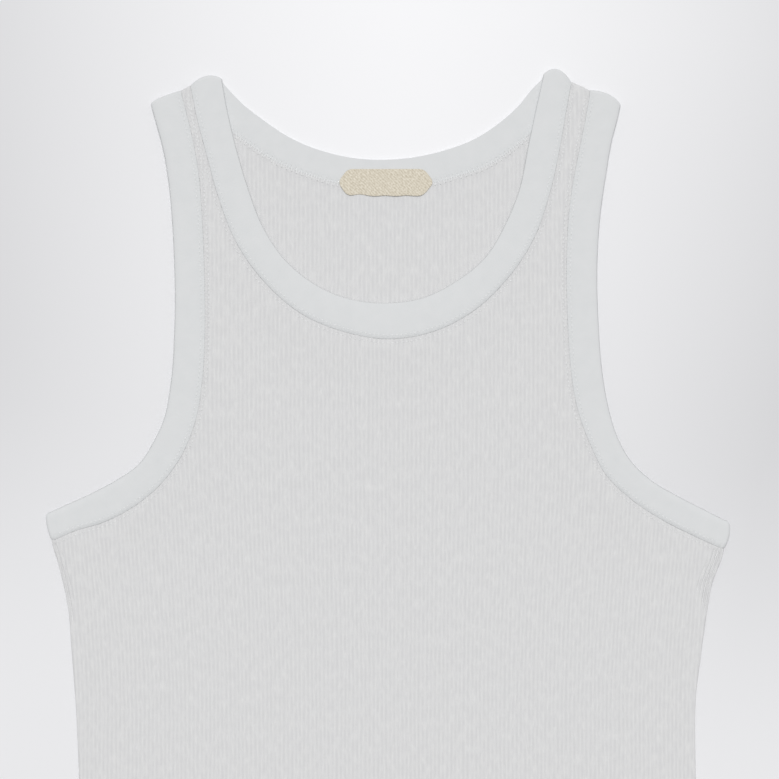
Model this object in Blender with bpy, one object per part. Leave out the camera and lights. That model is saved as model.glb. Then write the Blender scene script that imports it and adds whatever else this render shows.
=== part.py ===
"""A ribbed tank top laid flat: its back rests on the surface, and its front lies on its back.

Seen from above, +X is to the right and +Y runs up to the shoulders; +Z is up. Lengths are in
millimetres until solid() turns them into metres. A height h is measured up the cloth from the hem.
"""

import math
from collections import namedtuple

import bmesh
import bpy
from mathutils import Vector
from mathutils.geometry import delaunay_2d_cdt

MM = 0.001

# Driving dimensions
LENGTH = 682.8  # from the hem to the highest point of the shoulders
WALL = 1.2  # one layer of the rib knit
BAND_WALL = 2.0  # the folded strip of a band
BAND_HOLLOW = 0.3  # half of the space between a band's two runs, where it is pressed flat
SEAM_GAP = 0.3  # between two pieces that are sewn together
SEAM_DITCH = 0.25  # how far a panel dips where a band is sewn to it

# The front's outer face, above the surface that the garment lies on
BAND_TOP = 4.2  # beside a band, which holds the front up
BODY_TOP = 3.1  # where the front lies on the back
HEM_TOP = 4.7  # over the four layers of the two hems
SAG_REACH = 45.0  # how far from a band the front comes down onto the back

# The hem, turned up once to the inside
HEM_DEPTH = 20.0
HEM_WALL = 2.2
HEM_STEP = 4.0  # over which the wall thins from two layers to one
HEM_SLOPE = 16.0  # over which the front comes down from the hem
HEM_ROUND = 0.7  # rounding of the fold along the bottom
HEM_RISE = 4.0  # how much higher the hem lies at the side seams than in the middle

# Ribs of the knit
RIB_PITCH = 2.74  # at the waist
RIB_FAN = 1.06  # how much wider the ribs lie across the chest
FAN_FROM, FAN_TO = 250.0, 450.0
RIB_RISE = 0.45
RIB_END = 0.5  # share of the rise that is left where a seam presses a rib flat
RIB_SHORTEST = 6.0
RIB_MARGINS = {"hem": 1.5, "seam": 1.2, "fold": 4.4}  # from the ribs to each kind of edge

BOW_SECTIONS = 4  # sections over which a band's curved end straightens
BAND_STEPS = 2  # sections from one table row to the next
SIDE_STEPS = 3  # pieces of a side seam's curve from one table row to the next
FOLD_ANGLES = (90, 60, 30)  # degrees round a folded edge, from the flat cloth outwards
BAND_ANGLES = (60, 30, 0, -30, -60)
SHARP_ANGLE = 32  # degrees: a rib's crest is sharper, a fold's steps are softer
TOLERANCE = 1e-5

# A band's cross-section: how far across from seam to finished edge, and how far through the strip
Corner = namedtuple("Corner", "across through")
BAND_PROFILE = (
    Corner(0.0, 0.0),
    Corner(0.0, 1.0),
    Corner(0.35, 1.0),
    Corner(0.7, 1.0),
    Corner(0.93, 1.0),
    Corner(1.0, 0.65),
    Corner(1.0, 0.35),
    Corner(0.93, 0.0),
    Corner(0.7, 0.0),
    Corner(0.35, 0.0),
)

# One row for each section of a band: its finished edge and its seam, as (x, h)
Section = namedtuple("Section", "edge_x edge_h seam_x seam_h")
NECK_FRONT = (
    Section(-111.2, 676.4, -132.0, 672.3),
    Section(-108.2, 657.3, -128.3, 651.2),
    Section(-101.8, 629.8, -121.6, 625.8),
    Section(-94.1, 603.7, -114.0, 598.1),
    Section(-84.1, 577.5, -102.0, 567.2),
    Section(-69.0, 554.8, -83.1, 540.4),
    Section(-44.2, 535.7, -54.9, 516.9),
    Section(-24.1, 528.3, -30.2, 506.9),
    Section(0.0, 526.0, 0.7, 501.8),
    Section(22.1, 529.0, 29.5, 506.5),
    Section(45.6, 540.4, 59.0, 521.9),
    Section(65.7, 557.1, 81.7, 544.4),
    Section(79.7, 580.9, 98.5, 570.8),
    Section(88.1, 602.3, 107.9, 598.0),
    Section(94.1, 631.8, 115.2, 630.5),
    Section(99.5, 657.3, 119.9, 657.9),
    Section(103.9, 679.0, 122.6, 674.6),
)
NECK_BACK = (
    NECK_FRONT[0],
    Section(-105.2, 667.3, -123.3, 655.9),
    Section(-96.5, 658.6, -111.9, 645.9),
    Section(-84.4, 649.2, -97.2, 635.2),
    Section(-66.3, 637.2, -76.4, 621.4),
    Section(-45.6, 628.5, -50.9, 611.0),
    Section(-24.1, 623.4, -27.5, 604.7),
    Section(-4.0, 622.1, -2.7, 603.0),
    Section(16.1, 623.6, 22.1, 604.8),
    Section(36.9, 628.1, 44.9, 610.4),
    Section(57.6, 635.8, 67.7, 618.7),
    Section(75.7, 647.6, 87.8, 632.8),
    Section(87.8, 658.6, 101.8, 645.9),
    Section(96.5, 669.3, 112.6, 659.3),
    NECK_FRONT[-1],
)
ARMHOLE_LEFT = (
    Section(-158.8, 661.0, -138.4, 668.6),
    Section(-155.0, 645.2, -133.7, 647.9),
    Section(-150.9, 629.8, -130.3, 633.2),
    Section(-147.2, 608.4, -126.8, 612.4),
    Section(-144.9, 584.9, -124.8, 588.3),
    Section(-143.4, 558.1, -123.4, 559.5),
    Section(-142.7, 531.3, -122.6, 531.3),
    Section(-143.2, 504.5, -122.7, 502.5),
    Section(-145.1, 475.7, -124.6, 471.7),
    Section(-150.3, 447.7, -130.2, 442.7),
    Section(-157.5, 432.2, -138.8, 422.8),
    Section(-167.5, 417.4, -153.6, 403.2),
    Section(-181.1, 407.8, -169.9, 389.9),
    Section(-199.2, 398.1, -190.8, 379.0),
    Section(-215.7, 390.6, -209.7, 373.3),
    Section(-229.5, 385.4, -225.8, 367.4),
)
ARMHOLE_RIGHT = (
    Section(155.8, 660.5, 135.2, 668.6),
    Section(153.0, 645.9, 132.1, 648.6),
    Section(149.8, 633.8, 128.8, 631.8),
    Section(146.1, 611.7, 125.2, 613.7),
    Section(142.8, 589.6, 121.9, 593.0),
    Section(140.7, 564.8, 119.9, 566.1),
    Section(140.1, 538.0, 119.6, 536.7),
    Section(141.1, 511.2, 120.6, 507.9),
    Section(143.0, 484.5, 122.6, 479.7),
    Section(146.6, 461.0, 126.8, 455.5),
    Section(153.1, 437.6, 135.3, 431.5),
    Section(162.8, 420.0, 146.3, 410.5),
    Section(176.5, 407.0, 162.8, 394.6),
    Section(195.2, 396.0, 184.6, 380.2),
    Section(213.1, 386.8, 205.0, 370.0),
    Section(228.5, 380.2, 225.5, 361.6),
)

# The two side seams, from the underarms down to the hem
Side = namedtuple("Side", "h left right")
SIDES = (
    Side(367.2, -225.9, 227.3),
    Side(353.8, -221.8, 223.4),
    Side(340.4, -218.4, 218.2),
    Side(320.3, -214.5, 214.3),
    Side(293.5, -212.3, 210.6),
    Side(260.0, -209.8, 206.5),
    Side(219.8, -207.7, 206.4),
    Side(159.5, -207.3, 207.4),
    Side(92.5, -208.7, 210.0),
    Side(0.0, -213.1, 213.7),
)

# Where a band's end bulges past the straight line between its two corners
NECK_BOWS = (4.0, 6.1)  # left and right shoulder
ARMHOLE_BOWS = {-1: (0.5, 1.0), 1: (2.4, 2.0)}  # shoulder and underarm

# Soft hollows in the front: beside the neck band, and under each armhole
Dip = namedtuple("Dip", "x h width length depth")
DIPS = (
    Dip(-94.0, 520.0, 22.0, 30.0, 0.5),
    Dip(86.0, 516.0, 22.0, 30.0, 0.5),
    Dip(-180.0, 366.0, 30.0, 18.0, 0.4),
    Dip(184.0, 362.0, 30.0, 18.0, 0.4),
)

# Rows of points across the panels
RIB_ROWS = (HEM_DEPTH, HEM_DEPTH + HEM_SLOPE, 150.0, 290.0, 366.0, 430.0, 480.0, 520.0, 580.0)
ROW_CLEARANCE = 4.0  # from a rib's end to its nearest row
PLAIN_ROWS = RIB_ROWS + (HEM_DEPTH + HEM_STEP,)
SIDE_ROWS = (HEM_DEPTH, HEM_DEPTH + HEM_STEP, HEM_DEPTH + HEM_SLOPE,
             92.0, 160.0, 220.0, 260.0, 293.0, 320.0, 340.0, 354.0)
CORNER_STEP = 1.5  # from the hem's corner to the side's next point
HEM_PIECES = 14  # straight pieces along the hem's edge, between its corners
PLAIN_SPACING = 42.0  # between the points of a plain face
PLAIN_CLEARANCE = 8.0  # from those points to a rib's points
PLAIN_MARGINS = {"hem": 9.0, "seam": 9.0, "fold": 12.0}
SHOULDER_ZONE = 660.0  # only a shoulder's folded edge lies higher
NECK_LOWEST = 590.0  # only the neck's part of the back panel's edge lies higher, between the straps
STRAP_CLEARANCE = 22.0  # from the straps to the back's ribs

# The label, a hexagon of woven tape whose lower part lies below the neck band's seam
LABEL_CENTRE = (-1.4, 606.9)
LABEL_HALF_LENGTH = 31.3
LABEL_HALF_WIDTH = 8.8
LABEL_POINT = 5.6  # how far each end comes to a point
LABEL_WALL = 0.8
LABEL_BEND = 602.6  # where it comes down off the band
LABEL_DROP = 0.45

LINEN_WHITE = (0.70, 0.70, 0.715, 1.0)
BAND_WHITE = (0.71, 0.725, 0.725, 1.0)
CREAM = (0.66, 0.61, 0.50, 1.0)


# Curves

def smooth(rows, steps):
    """Rows read off a smooth curve through the given ones, with steps pieces between each two."""
    points = [Vector(row) for row in rows]
    spans = [(b - a).length for a, b in zip(points, points[1:])]
    chords = [(b - a) / span for a, b, span in zip(points, points[1:], spans)]
    slopes = [chords[0]]
    for before, after, one, two in zip(chords, chords[1:], spans, spans[1:]):
        slopes.append((before * two + after * one) / (one + two))
    slopes.append(chords[-1])
    found = []
    for i, span in enumerate(spans):
        for k in range(steps):
            t = k / steps
            found.append(
                points[i] * (1 + 2 * t) * (1 - t) ** 2
                + slopes[i] * span * t * (1 - t) ** 2
                + points[i + 1] * t * t * (3 - 2 * t)
                + slopes[i + 1] * span * t * t * (t - 1)
            )
    return found + [points[-1]]


def side_x(h, sign):
    """The outermost x of the garment's side at a height."""
    for high, low in zip(SIDE_CURVE, SIDE_CURVE[1:]):
        if h >= low.h or low is SIDE_CURVE[-1]:
            at_high, at_low = (high.left, low.left) if sign < 0 else (high.right, low.right)
            return at_low + (at_high - at_low) * (h - low.h) / (high.h - low.h)


def hem_height(x):
    return HEM_RISE * (x / SIDES[-1].right) ** 2


def moved_in(rows, first_out, last_out):
    """A band's rows with its two ends moved in to the axes that its folds turn about."""
    reach = BAND_HOLLOW + BAND_WALL
    first, last = Vector(rows[0]), Vector(rows[-1])
    first -= Vector((*first_out, *first_out)) * reach
    last -= Vector((*last_out, *last_out)) * reach
    return [first, *(Vector(row) for row in rows[1:-1]), last]


UP = (0.0, 1.0)
SIDE_CURVE = [Side(*row) for row in smooth(SIDES, SIDE_STEPS)]
NECK_FRONT_CURVE = [Section(*row) for row in smooth(moved_in(NECK_FRONT, UP, UP), BAND_STEPS)]
NECK_BACK_CURVE = [Section(*row) for row in smooth(moved_in(NECK_BACK, UP, UP), BAND_STEPS)]
ARMHOLE_CURVES = {
    sign: [Section(*row) for row in smooth(moved_in(rows, UP, (sign, 0.0)), BAND_STEPS)]
    for sign, rows in ((-1, ARMHOLE_LEFT), (1, ARMHOLE_RIGHT))
}


# Bands

def band_section(row, out, bow, degrees):
    """A band's cross-section. At 90 degrees it lies on top, at -90 underneath, and between them it
    turns round a fold whose edge looks along out."""
    angle = math.radians(degrees)
    corners = []
    for across, through in BAND_PROFILE:
        reach = BAND_HOLLOW + BAND_WALL * through
        aside = reach * math.cos(angle) + bow * 4 * across * (1 - across)
        corners.append((
            row.seam_x + (row.edge_x - row.seam_x) * across + out[0] * aside,
            row.seam_h + (row.edge_h - row.seam_h) * across + out[1] * aside,
            BAND_HOLLOW + BAND_WALL + reach * math.sin(angle),
        ))
    return corners


def band_run(curve, outs, bows, degrees):
    """Sections along one run, from the first end to the last. The ends' bows fade into it."""
    last = len(curve) - 1
    run = []
    for i, row in enumerate(curve):
        from_first, from_last = i / BOW_SECTIONS, (last - i) / BOW_SECTIONS
        near_first = from_first < from_last
        out = outs[0] if near_first else outs[1]
        bow = bows[0] if near_first else bows[1]
        fade = max(0.0, 1.0 - min(from_first, from_last)) ** 2
        run.append(band_section(row, out, bow * fade, degrees))
    return run


def band(name, front, back, outs, bows, colour):
    """A ring of folded strip pressed flat: it runs along the front, round a fold, along the back
    and round the other fold."""
    sections = band_run(front, outs, bows, 90)
    sections += [band_section(front[-1], outs[1], bows[1], turn) for turn in BAND_ANGLES]
    sections += reversed(band_run(back, outs, bows, -90))
    sections += [band_section(front[0], outs[0], bows[0], -turn) for turn in BAND_ANGLES]
    count = len(BAND_PROFILE)
    total = count * len(sections)
    faces = []
    for start in range(0, total, count):
        for i in range(count):
            j = (i + 1) % count
            faces.append((start + i, start + j,
                          (start + count + j) % total, (start + count + i) % total))
    solid(name, [corner for section in sections for corner in section], faces, colour)


# The form of the cloth

SEAM_POINTS = [
    (row.seam_x, row.seam_h)
    for curve in (NECK_FRONT_CURVE, *ARMHOLE_CURVES.values())
    for row in curve
]


def ramp(value, low, high):
    return min(1.0, max(0.0, (value - low) / (high - low)))


def eased(share):
    return share * share * (3 - 2 * share)


def wall(h):
    return HEM_WALL + (WALL - HEM_WALL) * ramp(h, HEM_DEPTH, HEM_DEPTH + HEM_STEP)


def front_top(x, h):
    """Height of the front's outer face: held up beside a band and over the hem, and lower between."""
    near = min(math.hypot(x - seam_x, h - seam_h) for seam_x, seam_h in SEAM_POINTS)
    held = 1.0 - ramp(near, 0.0, SAG_REACH)
    top = BODY_TOP + (BAND_TOP - BODY_TOP) * eased(held)
    top += (HEM_TOP - BODY_TOP) * (1.0 - ramp(h, HEM_DEPTH, HEM_DEPTH + HEM_SLOPE))
    for dip in DIPS:
        away = ((x - dip.x) / dip.width) ** 2 + ((h - dip.h) / dip.length) ** 2
        top -= dip.depth * math.exp(-away)
    return top


def side_radius(h, sign):
    return front_top(side_x(h, sign), h) / 2


def shoulder_h(x):
    """The outermost height of the shoulder fold."""
    sign = -1 if x < 0 else 1
    armhole = (ARMHOLE_LEFT if sign < 0 else ARMHOLE_RIGHT)[0]
    neck = NECK_FRONT[0 if sign < 0 else -1]
    share = (x - armhole.seam_x) / (neck.seam_x - armhole.seam_x)
    return armhole.seam_h + (neck.seam_h - armhole.seam_h) * share


def first_angle(radius):
    """Where a folded edge starts, half a seam gap from the level of its axis."""
    return math.asin(SEAM_GAP / 2 / radius)


def side_place(h, sign, angle):
    """x on the panel laid out flat, for a place at an angle round the fold of the side."""
    radius = side_radius(h, sign)
    return side_x(h, sign) + sign * radius * (math.pi / 2 - angle - 1)


def shoulder_place(x, angle):
    return shoulder_h(x) + BAND_TOP / 2 * (math.pi / 2 - angle - 1)


def placed(x, h, depth, layer):
    """Where a point of a panel that is laid out flat comes to lie. depth goes in from the outer face;
    layer is 1 on the front and -1 on the back."""
    sign = -1 if x < 0 else 1
    if h < ARMHOLE_CURVES[sign][-1].seam_h:
        radius = side_radius(h, sign)
        past = sign * (x - side_x(h, sign)) + radius
        if past > 0:
            angle = math.pi / 2 - past / radius
            rise = max((radius - depth) * math.sin(angle), SEAM_GAP / 2)
            out = (radius - depth) * math.cos(angle)
            return (side_x(h, sign) + sign * (out - radius), h, radius + layer * rise)
    elif abs(x) > abs(NECK_FRONT[-1].seam_x) - 2 * SEAM_GAP:
        radius = BAND_TOP / 2
        past = h - shoulder_h(x) + radius
        if past > 0:
            angle = math.pi / 2 - past / radius
            rise = max((radius - depth) * math.sin(angle), SEAM_GAP / 2)
            out = (radius - depth) * math.cos(angle)
            return (x, shoulder_h(x) + out - radius, radius + layer * rise)
    return (x, h, front_top(x, h) - depth if layer > 0 else depth)


# Panels

Rim = namedtuple("Rim", "x h kind")


def sewn_point(row):
    """A point of a panel's edge, a seam gap away from the band that is sewn to it."""
    seam, edge = Vector((row.seam_x, row.seam_h)), Vector((row.edge_x, row.edge_h))
    point = seam + (seam - edge).normalized() * SEAM_GAP
    return Rim(point.x, point.y, "seam")


def side_heights(sign):
    corner = hem_height(side_x(0.0, sign))
    under = ARMHOLE_CURVES[sign][-1].seam_h - SEAM_GAP
    return (corner, corner + CORNER_STEP, *SIDE_ROWS, under)


def flank(sign):
    """A panel's edge from the hem's corner up the side, round the armhole and up to the shoulder."""
    heights = side_heights(sign)
    points = []
    for h in heights:
        x = side_place(h, sign, first_angle(side_radius(h, sign)))
        points.append(Rim(x, h, "hem" if h is heights[0] else "fold"))
    for turn in reversed(FOLD_ANGLES):
        points.append(Rim(side_place(heights[-1], sign, math.radians(turn)), heights[-1], "seam"))
    points += [sewn_point(row) for row in reversed(ARMHOLE_CURVES[sign][1:-1])]
    x = ARMHOLE_CURVES[sign][0].seam_x - sign * SEAM_GAP
    return points + shoulder_end(x)


def shoulder_end(x):
    """The short stretch of a panel's edge that goes over the shoulder, from below."""
    angles = [math.radians(turn) for turn in FOLD_ANGLES] + [first_angle(BAND_TOP / 2)]
    return [Rim(x, shoulder_place(x, angle), "seam") for angle in angles]


def hem_edge():
    """The bottom edge, from left to right, between the two corners."""
    folds = {}
    for sign in (-1, 1):
        h = hem_height(side_x(0.0, sign))
        folds[sign] = [Rim(side_place(h, sign, math.radians(turn)), h, "hem") for turn in FOLD_ANGLES]
    low, high = folds[-1][0].x, folds[1][0].x
    middle = [low + (high - low) * i / HEM_PIECES for i in range(1, HEM_PIECES)]
    return [*reversed(folds[-1]), *(Rim(x, hem_height(x), "hem") for x in middle), *folds[1]]


def panel_edge(neck_curve):
    """The whole edge of a panel, anticlockwise from the left end of the hem."""
    left, right = flank(-1), flank(1)
    neck = [sewn_point(row) for row in reversed(neck_curve[1:-1])]
    right_neck = shoulder_end(neck_curve[-1].seam_x + SEAM_GAP)
    left_neck = shoulder_end(neck_curve[0].seam_x - SEAM_GAP)
    return [*hem_edge(), *right, *reversed(right_neck), *neck, *left_neck, *reversed(left)]


def fold_lines(edge):
    """Lines across a panel that give its folded edges their round section."""
    lines = []
    for sign in (-1, 1):
        heights = side_heights(sign)
        for turn in FOLD_ANGLES:
            lines.append([(side_place(h, sign, math.radians(turn)), h) for h in heights])
    corners = [p for p in edge if p.h > SHOULDER_ZONE]
    for turn in FOLD_ANGLES:
        row = sorted(
            p.x for p in corners
            if abs(p.h - shoulder_place(p.x, math.radians(turn))) < TOLERANCE
        )
        for a, b in (row[:2], row[2:]):
            lines.append([(x, shoulder_place(x, math.radians(turn))) for x in (a, b)])
    return lines


def inset(edge, margins):
    """The edge moved in, by a margin for each kind of rim."""
    moved = []
    for i, here in enumerate(edge):
        before, after = edge[i - 1], edge[(i + 1) % len(edge)]
        run = Vector((after.x - before.x, after.h - before.h)).normalized()
        margin = margins[here.kind]
        moved.append((here.x - run.y * margin, here.h + run.x * margin))
    return moved


def fan(h):
    """How much wider than at the waist the ribs lie at this height."""
    return 1.0 + (RIB_FAN - 1.0) * eased(ramp(h, FAN_FROM, FAN_TO))


def stretches(polygon, u):
    """The (low, high) stretches of a rib's line that lie inside a polygon."""
    found = []
    for (x1, h1), (x2, h2) in zip(polygon, polygon[1:] + polygon[:1]):
        u1, u2 = x1 / fan(h1), x2 / fan(h2)
        if (u1 > u) != (u2 > u):
            found.append(h1 + (h2 - h1) * (u - u1) / (u2 - u1))
    found.sort()
    return zip(found[::2], found[1::2])


def rib_lines(polygon):
    """Crest and groove lines of the ribs inside a polygon, as (x, h, rise) points."""
    widest = max(x / fan(h) for x, h in polygon)
    lines = []
    half_count = math.ceil(widest / RIB_PITCH) * 2
    for k in range(-half_count, half_count + 1):
        u = k * RIB_PITCH / 2
        crest = RIB_RISE if k % 2 else 0.0
        for low, high in stretches(polygon, u):
            if high - low < RIB_SHORTEST:
                continue
            inner = [h for h in RIB_ROWS if low + ROW_CLEARANCE < h < high - ROW_CLEARANCE]
            line = [(u * fan(low), low, crest * RIB_END)]
            line += [(u * fan(h), h, crest) for h in inner]
            line.append((u * fan(high), high, crest * RIB_END))
            lines.append(line)
    return lines


def plain_points(polygon, lines):
    """Sparse points for a plain face, as one-point lines, clear of the ribs that it may have."""
    taken = [(x, h) for line in lines for x, h, _ in line]
    columns = round(max(x for x, _ in polygon) / PLAIN_SPACING)
    found = []
    for k in range(-columns, columns + 1):
        u = k * PLAIN_SPACING
        for low, high in stretches(polygon, u):
            for h in PLAIN_ROWS:
                x = u * fan(h)
                clear = all(math.hypot(x - tx, h - th) > PLAIN_CLEARANCE for tx, th in taken)
                if low < h < high and clear:
                    found.append([(x, h, 0.0)])
    return found


def triangles(edge, lines):
    """Triangles inside an edge that keep every line. Returns the points, as (x, h, rise), the faces,
    and where each point of the edge is among them."""
    flat, rises, index, sides = [], [], {}, []

    def point(x, h, rise):
        key = (round(x, 4), round(h, 4))
        if key not in index:
            index[key] = len(flat)
            flat.append(Vector((x / fan(h), h)))
            rises.append(rise)
        return index[key]

    border = [point(p.x, p.h, 0.0) for p in edge]
    for line in lines:
        ids = [point(*(*p, 0.0)[:3]) for p in line]
        sides += list(zip(ids, ids[1:]))
    inside_only = 1
    found, _, faces, sources, _, _ = delaunay_2d_cdt(flat, sides, [border], inside_only, TOLERANCE)
    at = {source: new for new, group in enumerate(sources) for source in group}
    points = []
    for (u, h), group in zip(found, sources):
        points.append((u * fan(h), h, rises[group[0]] if group else 0.0))
    return points, faces, [at[i] for i in border]


def panel(name, layer, edge, outer_lines, inner_lines, colour):
    """A wall of cloth with its own lines of points on each face, joined round its edge."""
    kinds = [p.kind for p in edge]
    verts, faces, borders = [], [], []
    for lines, inner in ((outer_lines, False), (inner_lines, True)):
        points, found, border = triangles(edge, lines)
        pressed = dict.fromkeys(border, 0.0)
        seen = inner == (layer < 0)
        for i, kind in zip(border, kinds):
            if kind == "hem":
                pressed[i] = HEM_ROUND
            elif kind == "seam" and seen:
                pressed[i] = SEAM_DITCH
        start = len(verts)
        for i, (x, h, rise) in enumerate(points):
            in_from_face = pressed.get(i, 0.0) - rise
            depth = wall(h) - in_from_face if inner else in_from_face
            verts.append(placed(x, h, depth, layer))
        faces += [[start + i for i in face] for face in found]
        borders.append([start + i for i in border])
    outer, inner = borders
    for i in range(len(outer)):
        faces.append((outer[i - 1], outer[i], inner[i], inner[i - 1]))
    solid(name, verts, faces, colour)


def front_panel():
    edge = panel_edge(NECK_FRONT_CURVE)
    ribs = rib_lines(inset(edge, RIB_MARGINS))
    plain = plain_points(inset(edge, PLAIN_MARGINS), [])
    folds = fold_lines(edge)
    panel("front_panel", 1, edge, folds + ribs, folds + plain, LINEN_WHITE)


def back_panel():
    """Its underside rests flat, so its ribs are raised on the face that shows inside the neck."""
    edge = panel_edge(NECK_BACK_CURVE)
    ribs = rib_lines(shown_in_neck(inset(edge, RIB_MARGINS)))
    plain_edge = inset(edge, PLAIN_MARGINS)
    folds = fold_lines(edge)
    below = plain_points(plain_edge, [])
    above = plain_points(plain_edge, ribs)
    panel("back_panel", -1, edge, folds + below, folds + ribs + above, LINEN_WHITE)


def shown_in_neck(ribbed):
    """The part of the back that lies between its own neck seam and the front's neck band."""
    front = [((row.seam_x + row.edge_x) / 2, (row.seam_h + row.edge_h) / 2) for row in NECK_FRONT_CURVE]
    left, right = front[0][0] + STRAP_CLEARANCE, front[-1][0] - STRAP_CLEARANCE
    seam = sorted((x, h) for x, h in ribbed if h > NECK_LOWEST and left < x < right)
    below = [(x, h) for x, h in front if seam[0][0] < x < seam[-1][0]]
    return below + seam[::-1]


# The label

def neck_label():
    """A hexagon of tape. Its lower strip comes down off the neck band onto the back panel."""
    cx, ch = LABEL_CENTRE
    side = LABEL_HALF_LENGTH - LABEL_POINT
    slope = (ch - LABEL_BEND) / LABEL_HALF_WIDTH
    bend = LABEL_HALF_LENGTH - LABEL_POINT * slope
    base = BAND_WALL + SEAM_GAP
    outline = (
        (-side, ch - LABEL_HALF_WIDTH, base - LABEL_DROP),
        (side, ch - LABEL_HALF_WIDTH, base - LABEL_DROP),
        (bend, LABEL_BEND, base),
        (LABEL_HALF_LENGTH, ch, base),
        (side, ch + LABEL_HALF_WIDTH, base),
        (-side, ch + LABEL_HALF_WIDTH, base),
        (-LABEL_HALF_LENGTH, ch, base),
        (-bend, LABEL_BEND, base),
    )
    verts = [(cx + x, h, z + up) for up in (0.0, LABEL_WALL) for x, h, z in outline]
    top = [(8, 9, 10, 15), (10, 11, 12, 13, 14, 15)]
    bottom = [(7, 2, 1, 0), (7, 6, 5, 4, 3, 2)]
    rim = [(i, (i + 1) % 8, (i + 1) % 8 + 8, i + 8) for i in range(8)]
    solid("neck_label", verts, top + bottom + rim, CREAM)


# Objects

def solid(name, verts, faces, colour):
    """One closed piece, in metres about the garment's middle, with its own material."""
    mesh = bpy.data.meshes.new(name)
    bm = bmesh.new()
    made = [bm.verts.new((x * MM, (h - LENGTH / 2) * MM, z * MM)) for x, h, z in verts]
    for face in faces:
        bm.faces.new([made[i] for i in face])
    bmesh.ops.recalc_face_normals(bm, faces=bm.faces)
    bm.to_mesh(mesh)
    bm.free()
    mesh.shade_smooth()
    mesh.set_sharp_from_angle(angle=math.radians(SHARP_ANGLE))
    mesh.materials.append(cloth(name, colour))
    piece = bpy.data.objects.new(name, mesh)
    bpy.context.scene.collection.objects.link(piece)


def cloth(name, colour):
    material = bpy.data.materials.new(name)
    material.use_nodes = True
    shader = material.node_tree.nodes["Principled BSDF"]
    shader.inputs["Base Color"].default_value = colour
    shader.inputs["Roughness"].default_value = 0.9
    shader.inputs["Metallic"].default_value = 0.0
    return material


def main():
    for old in list(bpy.data.objects):
        bpy.data.objects.remove(old)
    front_panel()
    back_panel()
    band("neck_band", NECK_FRONT_CURVE, NECK_BACK_CURVE, (UP, UP), NECK_BOWS, BAND_WHITE)
    for sign, name in ((-1, "armhole_band_left"), (1, "armhole_band_right")):
        curve = ARMHOLE_CURVES[sign]
        band(name, curve, curve, (UP, (sign, 0.0)), ARMHOLE_BOWS[sign], BAND_WHITE)
    neck_label()


main()
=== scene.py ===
"""A white rib-knit tank top, laid flat with its front up and seen from straight above."""

import math
from collections import namedtuple

import bmesh
import bpy
from mathutils import Euler, Matrix, Vector, kdtree, noise
from mathutils.bvhtree import BVHTree


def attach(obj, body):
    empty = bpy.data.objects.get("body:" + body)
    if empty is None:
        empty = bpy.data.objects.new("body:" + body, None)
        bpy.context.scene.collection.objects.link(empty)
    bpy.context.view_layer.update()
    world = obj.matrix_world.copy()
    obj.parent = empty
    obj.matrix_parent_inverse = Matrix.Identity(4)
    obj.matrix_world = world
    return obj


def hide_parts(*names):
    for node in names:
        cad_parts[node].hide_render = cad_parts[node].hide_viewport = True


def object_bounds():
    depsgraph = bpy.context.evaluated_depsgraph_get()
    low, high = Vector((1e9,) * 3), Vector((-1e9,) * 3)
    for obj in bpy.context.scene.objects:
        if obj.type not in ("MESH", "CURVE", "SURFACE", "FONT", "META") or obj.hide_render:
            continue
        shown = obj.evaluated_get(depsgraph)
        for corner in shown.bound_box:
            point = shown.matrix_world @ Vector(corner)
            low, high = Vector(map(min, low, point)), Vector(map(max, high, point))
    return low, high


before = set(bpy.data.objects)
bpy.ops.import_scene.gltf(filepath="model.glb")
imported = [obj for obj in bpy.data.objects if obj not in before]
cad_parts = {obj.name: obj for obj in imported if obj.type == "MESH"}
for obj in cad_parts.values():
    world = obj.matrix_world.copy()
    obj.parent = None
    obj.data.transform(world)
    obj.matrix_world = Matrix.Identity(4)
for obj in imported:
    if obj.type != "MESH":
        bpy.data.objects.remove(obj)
cad_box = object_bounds()


# ---------------------------------------------------------------------------------------------
# Back panel
# One piece of rib knit in combed cotton, cut with its ribs running up the body. It lies face
# down, so the neck shows its inside. Both panels are cut, ribbed and laid by the functions here.

MM = 0.001
LENGTH = (cad_box[1].y - cad_box[0].y) / MM  # from the hem to the top of the shoulders

CLOTH = 1.1  # one layer of the knit, between its crests and the far side's grooves
BAND_WALL = 2.0  # the folded strip of a band
BAND_HOLLOW = 0.3  # half of the space between a band's two runs
SEAM_GAP = 0.01  # between a panel's edge and the band sewn to it
BAND_TOP = 4.5  # height of the front's face beside a band, which holds it up
BODY_TOP = 3.1  # height of the front's face where it lies on the back
HEM_TOP = 4.7
SAG_REACH = 45.0  # from a band to where the front lies on the back
HEM_DEPTH = 20.0
HEM_SLOPE = 16.0
HEM_RISE = 4.0  # how much higher the hem lies at the side seams than in the middle
HEM_CLOTH, HEM_END = 1.9, 2.0  # the hem's two layers, and over what height the inner one ends

RIB_PITCH = 2.74  # at the waist
RIB_FAN = 1.06  # how much wider the ribs lie across the chest
FAN_FROM, FAN_TO = 250.0, 450.0
RIB_RISE = 0.26
RIB_FLAT, RIB_FADE = 0.4, 3.0  # from a seam: where the ribs are pressed flat, and where that ends
RIB_POWER = 0.7  # below 1, so that crests are broader than grooves
RIB_MEAN, RIB_SPREAD, SPREAD_SIZE = 0.8, 0.5, (4.0, 12.0)  # of the ribs' heights
WANDER, WANDER_SIZE = 0.6, (9.0, 60.0)  # how far a rib strays sideways
RIB_DRAW, WANDER_DRAW = 8.0, 3.0  # each picks one draw of the noise
COLUMNS_PER_RIB = 4
INSIDE_RELIEF = 0.6  # share of the ribs' relief that shows on the back's outer face

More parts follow.
